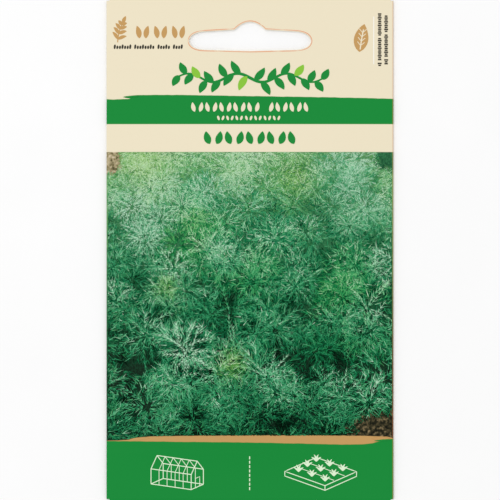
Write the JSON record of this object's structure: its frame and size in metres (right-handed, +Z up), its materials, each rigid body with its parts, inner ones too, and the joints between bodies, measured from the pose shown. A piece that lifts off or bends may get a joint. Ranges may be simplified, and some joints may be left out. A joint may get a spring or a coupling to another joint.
{
  "type": "seed packet",
  "caption": "Flat folded paper seed packet with a hanging slot, glued flaps and back seam, a swollen lower half and dill seeds inside.",
  "frame": {"origin": "under the middle of the packet, on the surface that it lies on", "axes": "+Z up out of the printed front, +Y along the packet towards the hanging slot, +X to the right of the front"},
  "size_m": [0.08, 0.14, 0.0041],
  "materials": {
    "printed_paper": "coated paper, satin",
    "dried_glue": "thin dried film",
    "dried_seed": "dry ribbed seed"
  },
  "bodies": {
    "root": {"paper_sheet": "printed_paper", "glue_back_seam": "dried_glue", "glue_bottom_flap": "dried_glue", "glue_top_flap": "dried_glue", "seed_heap": "dried_seed"}
  },
  "joints": []
}
